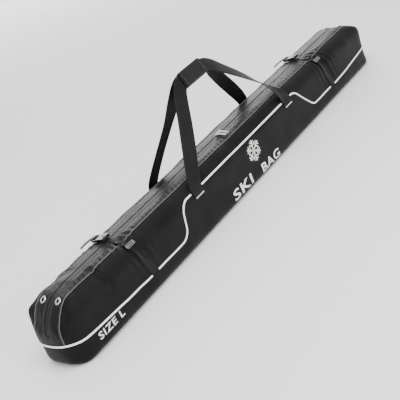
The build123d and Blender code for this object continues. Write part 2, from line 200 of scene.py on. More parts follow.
seamZ = shell["height"] - shell["crown"]
shoulderRun = shell["halfWidth"] - shell["halfGusset"]
shoulderRise = seamZ - shell["sideHeight"]
shoulderRadius = (shoulderRun ** 2 + shoulderRise ** 2) / (2 * shoulderRun)
shoulderY = shell["halfWidth"] - shoulderRadius
tipX = shell["halfLength"] + shell["tipMargin"]
endDrop = shell["height"] + shell["overshoot"] - shell["endBase"]
endRadius = (shell["endReach"] ** 2 + endDrop ** 2) / (2 * shell["endReach"])
planHalf = shell["halfWidth"] + shell["planMargin"]
planRadius = (planHalf ** 2 + shell["planBulge"] ** 2) / (2 * shell["planBulge"])


def roundedCorner(across, up, radius):
    # distance from a straight-sided corner that is rounded off
    outside = np.hypot(np.maximum(across + radius, 0), np.maximum(up + radius, 0))
    return np.minimum(np.maximum(across, up) + radius, 0) * (np.maximum(across, up) < -radius) + outside - radius


def softMax(first, second):
    # the larger of two distances, rounded over where they are close
    overlap = np.maximum(shell["softness"] - np.abs(first - second), 0)
    return np.maximum(first, second) + overlap ** 2 / (4 * shell["softness"])


def formDistance(points):
    # how far each point stands outside the stuffed bag, before its cloth sags
    x, y, z = np.abs(points[:, 0]), np.abs(points[:, 1]), points[:, 2]
    # the rounding over draws the flat bottom in, so heights are let down again towards the floor
    z = z + shell["softness"] / 4 * (1 - np.clip(z / 60, 0, 1))
    below = roundedCorner(y - shell["halfWidth"], -z, shell["bottomRadius"])
    crownRise = seamZ + shell["crown"] - shell["sideHeight"] - shoulderRadius
    lifted = z - crownRise * np.maximum(1 - (y / shell["halfGusset"]) ** 2, 0)
    above = roundedCorner(y - shell["halfWidth"], lifted - shell["sideHeight"] - shoulderRadius, shoulderRadius)
    section = np.maximum(below, above)
    dome = np.hypot(np.maximum(x - tipX + endRadius, 0), z - shell["endBase"]) - endRadius
    foot = roundedCorner(x - tipX, -z, shell["footRadius"])
    end = np.where(z > shell["endBase"], dome, foot)
    plan = np.hypot(np.maximum(x - shell["halfLength"] + planRadius, 0), y) - planRadius
    return softMax(softMax(section, end), plan)


def ease(value, low, high):
    share = np.clip((value - low) / (high - low), 0, 1)
    return share * share * (3 - 2 * share)


def waves(points, length, seed, stretch=(1, 1, 1)):
    # smooth unevenness of about one unit, its waves roughly that long
    source = np.random.default_rng(seed)
    total = np.zeros(len(points))
    for _ in range(9):
        heading = source.normal(size=3) * stretch
        heading /= np.linalg.norm(heading)
        size = length * source.uniform(0.7, 1.4)
        total += np.sin(points @ heading * 2 * math.pi / size + source.uniform(0, 2 * math.pi))
    return total / 3


def strapShift(points, strap):
    # how far along the bag each point lies from the middle of a strap
    foot = np.clip((seamZ - points[:, 2]) / (seamZ - piping["lowZ"]), 0, 1)
    return points[:, 0] - strap["x"] - strap["slant"] * foot


def eyeletSpot(end, side):
    x = shell["halfLength"] - eyelets["inset"]
    centre = np.array([tipX - endRadius, shell["endBase"]])
    rise = math.sqrt(endRadius ** 2 - (x - centre[0]) ** 2)
    axis = np.array([end * (x - centre[0]), 0, rise]) / endRadius
    return np.array([end * x, side * eyelets["spread"] / 2, shell["endBase"] + rise]), axis


sag = {
    "longWave": 1.7, "longLength": 300,         # loose cloth between the seams
    "shortWave": 0.8, "shortLength": 110,
    "strapDent": 4.5, "strapDentWidth": 24,     # pulled in under each strap
    "ripple": 1.5, "rippleLength": 27,          # folds beside each strap
    "pucker": 0.8, "puckerLength": 19,          # gathers along the gusset seams
    "endFold": 1.7, "endFoldLength": 70,        # soft folds at the near end
    "dent": 8, "dentX": -744, "dentWidth": 11,  # sharp dent in the near shoulder
    "crease": 1.6, "creaseZ": 128, "creaseWidth": 5,
    "eyeletCalm": 17,                           # the cloth lies flat this near to an eyelet
    "mostRise": 3,
}


def slack(points):
    # how far the empty cloth sinks in at each point
    x, y, z = points[:, 0], points[:, 1], points[:, 2]
    height = ease(z, 40, 150)
    offTop = ease(np.abs(y), 16, 50)
    depth = (sag["longWave"] * waves(points, sag["longLength"], 11, (1, 0.4, 0.7))
             + sag["shortWave"] * waves(points, sag["shortLength"], 12, (1, 0.5, 0.8)))
    for strap in straps.values():
        shift = strapShift(points, strap)
        depth += (1 + sag["strapDent"] * offTop) * height * np.exp(-(shift / sag["strapDentWidth"]) ** 2)
        ripples = np.sin(np.abs(shift) * 2 * math.pi / sag["rippleLength"] + y / 19 + 1.3)
        nearStrap = np.exp(-(np.abs(shift) - 20) ** 2 / 1800)
        depth += (0.4 + sag["ripple"] * offTop) * ripples * height * nearStrap
    seamPull = np.exp(-((np.abs(y) - shell["halfGusset"] + 5) / 13) ** 2) * ease(z, 60, 120)
    puckers = np.sin(x * 2 * math.pi / sag["puckerLength"] + np.abs(y) / 5.5 + 1.5 * waves(points, 160, 13))
    depth += sag["pucker"] * seamPull * puckers * (1 + 0.5 * waves(points, 240, 14))
    nearEnd = ease(-x, 680, 780)
    depth += nearEnd * height * (sag["endFold"] * waves(points, sag["endFoldLength"], 15, (1, 1, 0.6)))
    dent = np.exp(-((x - sag["dentX"] + 0.1 * (z - 140)) / sag["dentWidth"]) ** 2)
    depth += sag["dent"] * (dent * ease(z, 95, 150) * ease(-y, 20, 60))
    # a thin crease runs down and away from the near handle foot
    crease = np.abs(z - sag["creaseZ"] + 0.35 * (x + 300)) / sag["creaseWidth"]
    depth += sag["crease"] * np.exp(-crease ** 2) * ease(-y, 60, 90) * ease(x, -310, -290) * ease(-x, 60, 140)
    for spot, _ in eyeletPlaces:
        depth *= 1 - np.exp(-(np.linalg.norm(points - spot, axis=1) / sag["eyeletCalm"]) ** 4)
    return np.maximum(depth, -sag["mostRise"] * offTop) * ease(z, 3, 40)


eyelets = {"inset": 72, "spread": 62, "hole": 7}
eyeletPlaces = [eyeletSpot(end, side) for end in (-1, 1) for side in (front, back)]


def gradient(distance, points):
    steps = np.eye(3) * 0.6
    slopes = np.stack([distance(points + step) - distance(points - step) for step in steps], -1)
    return slopes / np.linalg.norm(slopes, axis=1, keepdims=True)


def clothDistance(points):
    return formDistance(points) + slack(points)


def reachOut(start, way):
    # how far along each ray the form ends, found by halving
    low = np.zeros(len(start))
    high = np.full(len(start), 2.0 * shell["height"])
    for _ in range(28):
        middle = (low + high) / 2
        inside = formDistance(start + way * middle[:, None]) < 0
        low = np.where(inside, middle, low)
        high = np.where(inside, high, middle)
    return high


def onForm(points):
    # the ray through each point, and how far along it the form ends
    start = np.zeros_like(points)
    start[:, 0] = np.clip(points[:, 0], -pivotX, pivotX)
    start[:, 2] = pivotZ
    way = points - start
    way /= np.linalg.norm(way, axis=1, keepdims=True)
    return start, way, reachOut(start, way)


def onBag(points, lift=0.0):
    # the points moved along their rays onto the cloth, then lifted off it
    shape = np.shape(points)
    start, way, reach = onForm(np.reshape(points, (-1, 3)).astype(float))
    facing = np.maximum(np.sum(gradient(formDistance, start + way * reach[:, None]) * way, axis=1), 0.35)
    for _ in range(5):
        reach -= clothDistance(start + way * reach[:, None]) / facing
    placed = start + way * reach[:, None]
    if np.any(lift):
        placed += gradient(clothDistance, placed) * np.reshape(lift, (-1, 1))
    return placed.reshape(shape)


def bagNormals(points):
    return gradient(clothDistance, np.reshape(points, (-1, 3))).reshape(np.shape(points))


def roundRoute(points, radius, step=3):
    # straight runs joined by arcs, as closely spaced points
    points = [np.array(point, float) for point in points]
    placed = [points[0]]
    for before, corner, after in zip(points, points[1:], points[2:]):
        into = (corner - before) / np.linalg.norm(corner - before)
        out = (after - corner) / np.linalg.norm(after - corner)
        turn = math.acos(np.clip(into @ out, -1, 1))
        if turn > 1e-3:
            cut = radius * math.tan(turn / 2)
            across = (out - into * (into @ out)) / math.sin(turn)
            count = max(3, int(radius * turn / step))
            for angle in np.linspace(0, turn, count):
                placed.append(corner - into * cut + radius * (into * math.sin(angle)
                                                              + across * (1 - math.cos(angle))))
    placed.append(points[-1])
    return np.array(placed)


def evenly(points, step):
    # the same line with its points one step apart
    gaps = np.linalg.norm(np.diff(points, axis=0), axis=1)
    along = np.concatenate([[0], np.cumsum(gaps)])
    wanted = np.linspace(0, along[-1], max(2, int(round(along[-1] / step)) + 1))
    return np.stack([np.interp(wanted, along, points[:, axis]) for axis in range(points.shape[1])], -1)


pipingLine = evenly(roundRoute([
    (-pivotX, pivotZ), (-piping["lowX"], piping["lowZ"]), (piping["nearRise"][0], piping["lowZ"]),
    (piping["nearRise"][1], piping["highZ"]), (piping["farRise"][1], piping["highZ"]),
    (piping["farRise"][0], piping["lowZ"]), (piping["lowX"], piping["lowZ"]), (pivotX, pivotZ),
], piping["bend"]), 3)


def sideY(z):
    # half width of the form at a height on its side or shoulder
    rise = np.clip(z - shell["sideHeight"], 0, shoulderRadius)
    return shoulderY + np.sqrt(shoulderRadius ** 2 - rise ** 2)


def pipingPoints(side):
    return np.stack([pipingLine[:, 0], side * sideY(pipingLine[:, 1]), pipingLine[:, 1]], -1)


def outwardLines(stations, offset):
    # each station's level base point, moved sideways, and the way it looks outwards
    outward = np.stack([np.sin(stations[:, 1]), 0 * stations[:, 1], np.cos(stations[:, 1])], -1)
    return np.stack([stations[:, 0], offset, np.full(len(stations), pivotZ)], -1), outward


def stationAngles(stations, offset):
    # angle from each station's outward line to the form's point that far from the middle
    return np.arctan2(offset, reachOut(*outwardLines(stations, offset)))


def panelGrid(stations, fromAngles, toAngles, side, rows):
    # one column of cloth points for each station, evenly spaced between two angles
    base, outward = outwardLines(stations, 0 * stations[:, 0])
    sideways = np.array([0, side, 0])
    fine = np.linspace(0, 1, 40)
    angles = fromAngles[:, None] + (toAngles - fromAngles)[:, None] * fine

    def rays(angles):
        way = outward[:, None] * np.cos(angles)[..., None] + sideways * np.sin(angles)[..., None]
        return base[:, None] + way * 100

    start, way, reach = onForm(rays(angles).reshape(-1, 3))
    rough = (start + way * reach[:, None]).reshape(*angles.shape, 3)
    gaps = np.linalg.norm(np.diff(rough, axis=1), axis=2)
    along = np.concatenate([np.zeros((len(stations), 1)), np.cumsum(gaps, axis=1)], axis=1)
    wanted = np.linspace(0, 1, rows)
    even = np.stack([np.interp(wanted * run[-1], run, angle) for run, angle in zip(along, angles)])
    return onBag(rays(even))


def gridUv(grid):
    # distances along and across the cloth, in metres
    alongGaps = np.linalg.norm(np.diff(grid, axis=0), axis=2).mean(axis=1)
    along = np.concatenate([[0], np.cumsum(alongGaps)])
    acrossGaps = np.linalg.norm(np.diff(grid, axis=1), axis=2)
    across = np.concatenate([np.zeros((len(grid), 1)), np.cumsum(acrossGaps, axis=1)], axis=1)
    across -= across[:, -1:] / 2
    return np.stack([np.broadcast_to(along[:, None], across.shape), across], -1) * mm


def addObject(name, data):
    made = bpy.data.objects.new(name, data)
    bpy.context.scene.collection.objects.link(made)
    return made


def addWall(piece, thickness, offset):
    wall = piece.modifiers.new("wall", "SOLIDIFY")
    wall.thickness = thickness * mm
    wall.offset = offset


def makeMesh(name, vertices, faces, uv=None, material=None):
    mesh = bpy.data.meshes.new(name)
    mesh.from_pydata(np.asarray(vertices) * mm, [], faces)
    if uv is not None:
        layer = mesh.uv_layers.new(name="cloth")
        corner = np.empty(len(mesh.loops), dtype=np.int64)
        mesh.loops.foreach_get("vertex_index", corner)
        layer.data.foreach_set("uv", np.asarray(uv, dtype=np.float32)[corner].ravel())
    mesh.shade_smooth()
    if material:
        mesh.materials.append(material)
    return addObject(name, mesh)


def gridFaces(rows, columns, closedRows=False, closedColumns=False):
    faces = []
    for row in range(rows if closedRows else rows - 1):
        for column in range(columns if closedColumns else columns - 1):
            nextRow, nextColumn = (row + 1) % rows, (column + 1) % columns
            faces.append((row * columns + column, nextRow * columns + column,
                          nextRow * columns + nextColumn, row * columns + nextColumn))
    return faces


def mergeAndTurn(piece, distance=0.02):
    # merges doubled points and turns the faces outwards
    work = bmesh.new()
    work.from_mesh(piece.data)
    bmesh.ops.remove_doubles(work, verts=work.verts, dist=distance * mm)
    bmesh.ops.dissolve_degenerate(work, edges=work.edges, dist=distance * mm)
    bmesh.ops.recalc_face_normals(work, faces=work.faces)
    work.to_mesh(piece.data)
    work.free()


def cutEyelets(mesh):
    # opens the cloth under each eyelet
    work = bmesh.new()
    work.from_mesh(mesh)
    cut = []
    for face in work.faces:
        centre = np.array(face.calc_center_median()) / mm
        for spot, axis in eyeletPlaces:
            if np.linalg.norm(np.cross(centre - spot, axis)) < eyelets["hole"]:
                cut.append(face)
    bmesh.ops.delete(work, geom=cut, context="FACES")
    work.to_mesh(mesh)
    work.free()


def clothPanel(name, grid, material, nodeNames, slotName):
    # a sewn panel, its thickness inwards
    stations, rows = grid.shape[:2]
    piece = makeMesh(name, grid.reshape(-1, 3), gridFaces(stations, rows), gridUv(grid).reshape(-1, 2), material)
    mergeAndTurn(piece)
    mesh = piece.data
    middle = mesh.polygons[len(mesh.polygons) // 2]
    spot = np.array(middle.center) / mm
    if np.dot(bagNormals(spot[None])[0], np.array(middle.normal)) < 0:
        mesh.flip_normals()
    if slotName == "gusset_fabric":
        cutEyelets(mesh)
    addWall(piece, shell["thickness"], -1)
    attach(piece, "bag")
    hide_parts(*nodeNames)
    return piece


# Columns of the cloth stand closer where the piping climbs and falls
stationX = np.concatenate([
    np.arange(-pivotX, -448, 4.0), np.arange(-448, -338, 1.6), np.arange(-338, 318, 4.0),
    np.arange(318, 470, 2.2), np.arange(470, pivotX, 4.0), [pivotX],
])
upTurns = np.linspace(0, pipingTurn, 44)
downTurns = np.linspace(pipingTurn, math.pi, 34)
upStations = np.concatenate([
    [(-pivotX, -turn) for turn in upTurns[:0:-1]], [(x, 0) for x in stationX],
    [(pivotX, turn) for turn in upTurns[1:]],
])
downStations = np.concatenate([
    [(-pivotX, -turn) for turn in downTurns[:-1]], [(x, math.pi) for x in stationX],
    [(pivotX, turn) for turn in downTurns[:-1][::-1]],
])
pipingZ = np.interp(stationX, pipingLine[:, 0], pipingLine[:, 1])
fanUp = np.full(len(upTurns) - 1, math.pi / 2)
fanDown = np.full(len(downTurns) - 1, math.pi / 2)
pipingFromTop = np.concatenate([fanUp, np.arctan2(sideY(pipingZ), pipingZ - pivotZ), fanUp])
pipingFromBottom = np.concatenate([fanDown, np.arctan2(sideY(pipingZ), pivotZ - pipingZ), fanDown])
seamAngles = stationAngles(upStations, np.full(len(upStations), float(shell["halfGusset"])))

zipChain = {"halfWidth": 3, "endZ": nodeCorners("zip_chain")[0][2]}
topLine = onBag(np.stack([upStations[:, 0] + 100 * np.sin(upStations[:, 1]), 0 * upStations[:, 0],
                          pivotZ + 100 * np.cos(upStations[:, 1])], -1))
zipGap = zipChain["halfWidth"] * ease(topLine[:, 2], zipChain["endZ"] - 3, zipChain["endZ"] + 2)
zipAngles = stationAngles(upStations, np.maximum(zipGap, 0.01))

panelRows = {"lower": 30, "side": 26, "gusset": 18}
lowerHalf = [panelGrid(downStations, pipingFromBottom, 0 * pipingFromBottom, side, panelRows["lower"])
             for side in (front, back)]
lowerGrid = np.concatenate([lowerHalf[0], lowerHalf[1][:, -2::-1]], axis=1)
clothPanel("lowerPanel", lowerGrid, shellCloth, ["lower_panel", "base_panel"], "shell_fabric")
for word, side in (("front", front), ("back", back)):
    sideGrid = panelGrid(upStations, seamAngles, pipingFromTop, side, panelRows["side"])
    clothPanel(word + "SidePanel", sideGrid, shellCloth, [word + "_side_panel"], "shell_fabric")
    gussetGrid = panelGrid(upStations, zipAngles, seamAngles, side, panelRows["gusset"])
    clothPanel(word + "Gusset", gussetGrid, gussetCloth, [word + "_gusset"], "gusset_fabric")
print("panels sewn")


# Cords and bands that follow a line
def unit(vectors):
    return vectors / np.linalg.norm(vectors, axis=-1, keepdims=True)


def frameLine(centres, ups):
    tangents = unit(np.gradient(centres, axis=0))
    across = unit(np.cross(tangents, ups))
    return tangents, across, np.cross(across, tangents)


def sweep(name, centres, ups, profile, material, widths=1.0):
    # carries a closed profile of (across, up) pairs along a line whose upward side is given at each point
    centres, ups = np.asarray(centres, float), np.asarray(ups, float)
    tangents, across, ups = frameLine(centres, ups)
    profile = np.asarray(profile, float)
    widths = np.broadcast_to(widths, len(centres))[:, None, None]
    vertices = (centres[:, None] + across[:, None] * profile[None, :, :1] * widths
                + ups[:, None] * profile[None, :, 1:])
    count = len(profile)
    faces = gridFaces(len(centres), count, closedColumns=True)
    faces.append(tuple(range(count)))
    faces.append(tuple(range(len(centres) * count - count, len(centres) * count)))
    along = np.concatenate([[0], np.cumsum(np.linalg.norm(np.diff(centres, axis=0), axis=1))])
    uv = np.stack([np.broadcast_to(profile[None, :, 0], (len(centres), count)),
                   np.broadcast_to(along[:, None], (len(centres), count))], -1) * mm
    piece = makeMesh(name, vertices.reshape(-1, 3), faces, uv.reshape(-1, 2), material)
    mergeAndTurn(piece, 0.001)
    return piece


def bead(halfWidth, rise, points=14):
    # round cord standing on the cloth, with its foot just inside it
    angles = np.linspace(-0.2 * math.pi, 1.2 * math.pi, points)
    return [(halfWidth * math.cos(angle), rise * (0.42 + 0.58 * math.sin(angle))) for angle in angles]


def band(width, thickness, steps=8):
    # flat webbing with soft edges
    half, rise = width / 2, thickness / 2
    flat = np.linspace(-half + rise, half - rise, steps)
    lower = [(x, -rise) for x in flat]
    upper = [(x, rise) for x in flat[::-1]]
    return lower + [(half - rise * 0.3, -rise * 0.7), (half, 0), (half - rise * 0.3, rise * 0.7)] + upper + [
        (-half + rise * 0.3, rise * 0.7), (-half, 0), (-half + rise * 0.3, -rise * 0.7)]


def joinPieces(name, parts):
    if len(parts) == 1:
        return parts[0]
    with bpy.context.temp_override(active_object=parts[0], object=parts[0], selected_objects=parts,
                                   selected_editable_objects=parts):
        bpy.ops.object.join()
    parts[0].name = parts[0].data.name = name
    return parts[0]


def dress(piece, body, nodeNames):
    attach(piece, body)
    if nodeNames:
        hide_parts(*nodeNames)
    return piece


def smoothLine(controls, step=3.0):
    # a smooth line through the control rows, with its points evenly spaced by their first three values
    controls = np.asarray(controls, float)
    padded = np.concatenate([[2 * controls[0] - controls[1]], controls, [2 * controls[-1] - controls[-2]]])
    rows = []
    for before, start, end, after in zip(padded, padded[1:], padded[2:], padded[3:]):
        share = np.linspace(0, 1, 24, endpoint=False)[:, None]
        rows.append(0.5 * (2 * start + (end - before) * share
                           + (2 * before - 5 * start + 4 * end - after) * share ** 2
                           + (3 * start - before - 3 * end + after) * share ** 3))
    fine = np.concatenate(rows + [controls[-1:]])
    along = np.concatenate([[0], np.cumsum(np.linalg.norm(np.diff(fine[:, :3], axis=0), axis=1))])
    wanted = np.linspace(0, along[-1], int(along[-1] / step) + 2)
    return np.stack([np.interp(wanted, along, fine[:, axis]) for axis in range(fine.shape[1])], -1)


def longestRun(line, covered):
    # the longest stretch of a line outside what covers it
    keep = ~covered
    best, start = (0, 0), None
    for index, kept in enumerate(np.append(keep, False)):
        if kept and start is None:
            start = index
        if not kept and start is not None:
            best = max(best, (index - start, start))
            start = None
    return line[best[1]:best[1] + best[0]]


def clearRuns(line, covered):
    # the stretches of a line that nothing covers
    edges = np.flatnonzero(np.diff(covered.astype(int))) + 1
    starts = np.concatenate([[0], edges])
    return [run for run, start in zip(np.split(line, edges), starts) if len(run) > 8 and not covered[start]]


def crossedBy(line, margin, handles=False):
    # which points of a line run under a strap, or under a handle foot too
    covered = np.zeros(len(line), bool)
    if handles:
        covered |= (np.abs(np.abs(line[:, 0]) - handle["x"]) < handle["width"] / 2 + margin) & (line[:, 2] > 140)
    for strap in straps.values():
        covered |= np.abs(strapShift(line, strap)) < strapBand["width"] / 2 + margin
    return covered


strapBand = {"width": 25, "thickness": 2, "lift": 0.3}
handle = {
    "x": nodeCorners("front_handle_feet")[1][0] - 25, "width": 50, "thickness": 2.5,
    "footZ": nodeCorners("front_handle_feet")[0][2], "pivotZ": 160, "gripZ": 426, "gripX": -12,
    "lean": math.radians(22), "gripSpots": (-58, -20, 20, 58),
    "pinch": 0.1, "pinchLength": 75, "pinchFromZ": 380,        # narrower where the wrap grips it
}

# White piping: along each side between the straps, and round each end from strap to strap
cordProfile = bead(piping["halfWidth"], piping["rise"])
lineStep = 2.5        # between the points of piping and cord


def endPipingPoints(end, side):
    # from the side of the bag round its end to the middle
    turns = np.linspace(math.pi / 2, 0, 60)[:, None]
    outward = np.array([end * math.sin(pipingTurn), 0, math.cos(pipingTurn)])
    base = np.array([end * pivotX, 0, pivotZ])
    return base + 100 * (outward * np.cos(turns) + np.array([0, side, 0]) * np.sin(turns))


for word, side in (("front", front), ("back", back)):
    line = evenly(onBag(pipingPoints(side)), lineStep)
    between = (line[:, 0] > straps["near"]["x"]) & (line[:, 0] < straps["far"]["x"] + 40)
    line = longestRun(line[between], crossedBy(line[between], piping["strapGap"]))
    runs = [onBag(run) for run in clearRuns(line, crossedBy(line, piping["handleGap"], True))]
    parts = [sweep(word + "Piping", run, bagNormals(run), cordProfile, pipingVinyl) for run in runs]
    dress(joinPieces(word + "Piping", parts), "bag", [word + "_piping"])
for word, end in (("near", -1), ("far", 1)):
    halves = []
    for side in (front, back):
        line = onBag(pipingPoints(side))
        past = (line[:, 0] - straps[word]["x"] - straps[word]["slant"]) * end
        line = line[past > strapBand["width"] / 2 + piping["strapGap"]]
        line = line[::-1] if end == -1 else line
        halves.append(np.concatenate([line[:-1], onBag(endPipingPoints(end, side))]))
    line = onBag(evenly(np.concatenate([halves[0], halves[1][-2::-1]]), lineStep))
    dress(sweep(word + "EndPiping", line, bagNormals(line), cordProfile, pipingVinyl), "bag",
          [word + "_end_piping"])


def alongTop(offset, side):
    # a line over the top and down both ends of the bag, that far from the middle
    angles = stationAngles(upStations, np.full(len(upStations), float(offset)))
    base, outward = outwardLines(upStations, 0 * angles)
    way = outward * np.cos(angles)[:, None]
    way[:, 1] = side * np.sin(angles)
    return onBag(base + 100 * way)


# Grey cord in the seams between the gusset and the side panels
cord = {"halfWidth": 1.3, "rise": 2.0, "strapGap": 0.2}
for word, side in (("front", front), ("back", back)):
    line = evenly(alongTop(shell["halfGusset"], side), lineStep)[2:-2]
    runs = clearRuns(line, crossedBy(line, cord["strapGap"]))
    parts = [sweep(word + "SeamCord", run, bagNormals(run), bead(cord["halfWidth"], cord["rise"], 10), cordVinyl)
             for run in runs]
    dress(joinPieces(word + "SeamCord", parts), "bag", [word + "_seam_cord"])
print("piping and cords sewn in")


# Zip, stitches and bar tacks, laid out by node trees
def repeatTree(name, segments, rings):
    # sets one small rounded shape on each point, turned by the point's own directions
    tree = bpy.data.node_groups.new(name, "GeometryNodeTree")
    face = tree.interface
    face.new_socket("Points", in_out="INPUT", socket_type="NodeSocketGeometry")
    for size in ("Length", "Width", "Height", "Unevenness"):
        face.new_socket(size, in_out="INPUT", socket_type="NodeSocketFloat")
    face.new_socket("Seed", in_out="INPUT", socket_type="NodeSocketInt")
    face.new_socket("Finish", in_out="INPUT", socket_type="NodeSocketMaterial")
    face.new_socket("Geometry", in_out="OUTPUT", socket_type="NodeSocketGeometry")
    given = addNode(tree, "NodeGroupInput").outputs
    ball = addNode(tree, "GeometryNodeMeshUVSphere", {"Segments": segments, "Rings": rings, "Radius": 0.5})
    size = addNode(tree, "ShaderNodeCombineXYZ", {"X": given["Length"], "Y": given["Width"], "Z": given["Height"]})
    shape = addNode(tree, "GeometryNodeTransform", {"Geometry": ball.outputs["Mesh"], "Scale": size.outputs["Vector"]})
    up = addNode(tree, "GeometryNodeInputNamedAttribute", {"Name": "up"}, data_type="FLOAT_VECTOR")
    heading = addNode(tree, "GeometryNodeInputNamedAttribute", {"Name": "heading"}, data_type="FLOAT_VECTOR")
    turn = addNode(tree, "FunctionNodeAxesToRotation", primary_axis="Z", secondary_axis="X")
    tree.links.new(up.outputs["Attribute"], turn.inputs[0])
    tree.links.new(heading.outputs["Attribute"], turn.inputs[1])
    least = addNode(tree, "ShaderNodeMath", {0: 1.0, 1: given["Unevenness"]}, operation="SUBTRACT")
    most = addNode(tree, "ShaderNodeMath", {0: 1.0, 1: given["Unevenness"]}, operation="ADD")
    grow = addNode(tree, "FunctionNodeRandomValue", {"Seed": given["Seed"]}, data_type="FLOAT")
    tree.links.new(least.outputs[0], grow.inputs[2])
    tree.links.new(most.outputs[0], grow.inputs[3])
    placed = addNode(tree, "GeometryNodeInstanceOnPoints", {
        "Points": given["Points"], "Instance": shape.outputs["Geometry"], "Rotation": turn.outputs[0],
        "Scale": grow.outputs[1]})
    real = addNode(tree, "GeometryNodeRealizeInstances", {"Geometry": placed.outputs["Instances"]})
    shaded = addNode(tree, "GeometryNodeSetMaterial", {"Geometry": real.outputs["Geometry"],
                                                        "Material": given["Finish"]})
    addNode(tree, "NodeGroupOutput", {"Geometry": shaded.outputs["Geometry"]})
    return tree


repeats = {"segments": 8, "rings": 5, "unevenness": 0.06, "seed": 4}
stitchTree = repeatTree("stitches", repeats["segments"], repeats["rings"])


def repeatAlong(name, spots, headings, ups, sizes, material):
    # spots, headings and ups are rows of three; sizes in millimetres
    mesh = bpy.data.meshes.new(name)
    mesh.from_pydata(np.asarray(spots) * mm, [], [])
    for word, vectors in (("heading", headings), ("up", ups)):
        mesh.attributes.new(word, "FLOAT_VECTOR", "POINT").data.foreach_set(
            "vector", np.asarray(vectors, np.float32).ravel())
    points = addObject(name, mesh)
    layout = points.modifiers.new("layout", "NODES")
    layout.node_group = stitchTree
    inputs = {item.name: item.identifier for item in stitchTree.interface.items_tree if item.in_out == "INPUT"}
    for word, value in zip(("Length", "Width", "Height"), sizes):
        layout[inputs[word]] = value * mm
    layout[inputs["Unevenness"]] = repeats["unevenness"]
    layout[inputs["Seed"]] = repeats["seed"]
    layout[inputs["Finish"]] = material
    made = bpy.data.meshes.new_from_object(points.evaluated_get(bpy.context.evaluated_depsgraph_get()))
    bpy.data.objects.remove(points)
    made.shade_smooth()
    made.name = name
    return addObject(name, made)


def gather(rows):
    return [np.concatenate(part) for part in zip(*rows)]


stitch = {"length": 3.2, "spacing": 4.4, "width": 0.9, "height": 0.7, "lift": 0.15, "fromZip": 13, "fromSeam": 5}
rows = []
for side in (front, back):
    for offset in (stitch["fromZip"], shell["halfGusset"] - stitch["fromSeam"]):
        line = onBag(evenly(alongTop(offset, side), stitch["spacing"])[1:-1])
        line = line[~crossedBy(line, 0)]
        ups = bagNormals(line)
        rows.append((line + ups * stitch["lift"], unit(np.gradient(line, axis=0)), ups))
seamStitches = repeatAlong("gussetStitches", *gather(rows), (stitch["length"], stitch["width"], stitch["height"]),
                           stitchThread)
dress(seamStitches, "bag", [])

zipper = {
    "tapeWidth": 7, "tapeThickness": 0.8, "tapeDepth": 1.2,
    "toothSpacing": 2.4, "toothLength": 3.4, "toothWidth": 1.5, "toothHeight": 1.7, "toothDepth": 0.8,
    "toothOffset": 1.15, "stopWidth": 13, "stopThickness": 1.6, "stopLength": 9,
}
line = evenly(topLine, zipper["toothSpacing"] / 2)
line = onBag(line[line[:, 2] > zipChain["endZ"]])
ups = bagNormals(line)
tape = sweep("zipTape", line[::2] - ups[::2] * zipper["tapeDepth"], ups[::2],
             band(zipper["tapeWidth"], zipper["tapeThickness"], 4), webbing)
sides = np.where(np.arange(len(line)) % 2, 1.0, -1.0)[:, None] * np.array([0, zipper["toothOffset"], 0])
coil = repeatAlong("zipCoil", line + sides - ups * zipper["toothDepth"], np.tile([0.35, 1.0, 0], (len(line), 1)), ups,
                   (zipper["toothLength"], zipper["toothWidth"], zipper["toothHeight"]), coilNylon)
dress(tape, "bag", ["zip_chain"])
dress(coil, "bag", [])
for word, end in (("near", 0), ("far", -1)):
    down = unit(line[end] - line[4 if end == 0 else -5])
    stop = onBag(line[end] + down * np.linspace(1, zipper["stopLength"], 7)[:, None])
    patch = sweep(word + "ZipStop", stop, bagNormals(stop), band(zipper["stopWidth"], zipper["stopThickness"], 5),
                  webbing)
    dress(patch, "bag", ["zip_end_stops"])
print("zip and stitches laid")


# Compression straps
def sectionLine(strap, side, fromZ, toY):
    # over one side of the bag in the strap's slanted plane, from a height up to a distance from the middle
    heights = np.linspace(fromZ, shell["sideHeight"], 30)
    turns = np.linspace(0, math.acos((shell["halfGusset"] - shoulderY) / shoulderRadius), 34)[1:]
    offsets = np.linspace(shell["halfGusset"], toY, 30)[1:]
    crownZ = shell["height"] - shell["crown"] * (offsets / shell["halfGusset"]) ** 2
    ys = np.concatenate([0 * heights + shell["halfWidth"], shoulderY + shoulderRadius * np.cos(turns), offsets])
    zs = np.concatenate([heights, shell["sideHeight"] + shoulderRadius * np.sin(turns), crownZ])
    share = np.clip((seamZ - zs) / (seamZ - piping["lowZ"]), 0, 1)
    return np.stack([strap["x"] + strap["slant"] * share, side * ys, zs], -1)


strapProfile = band(strapBand["width"], strapBand["thickness"])
strapLift = strapBand["lift"] + strapBand["thickness"] / 2
for word, strap in straps.items():
    endY = nodeCorners(word + "_strap_front")[1][1]
    line = onBag(evenly(sectionLine(strap, front, piping["lowZ"] + 1, -endY), 3), strapLift)
    dress(sweep(word + "StrapFront", line, bagNormals(line), strapProfile, webbing), "bag",
          [word + "_strap_front"])
    startY = nodeCorners(word + "_strap_back")[0][1]
    line = onBag(evenly(sectionLine(strap, back, piping["lowZ"] + 1, startY), 3), strapLift)
    dress(sweep(word + "StrapBack", line, bagNormals(line), strapProfile, webbing), "bag", [word + "_strap_back"])

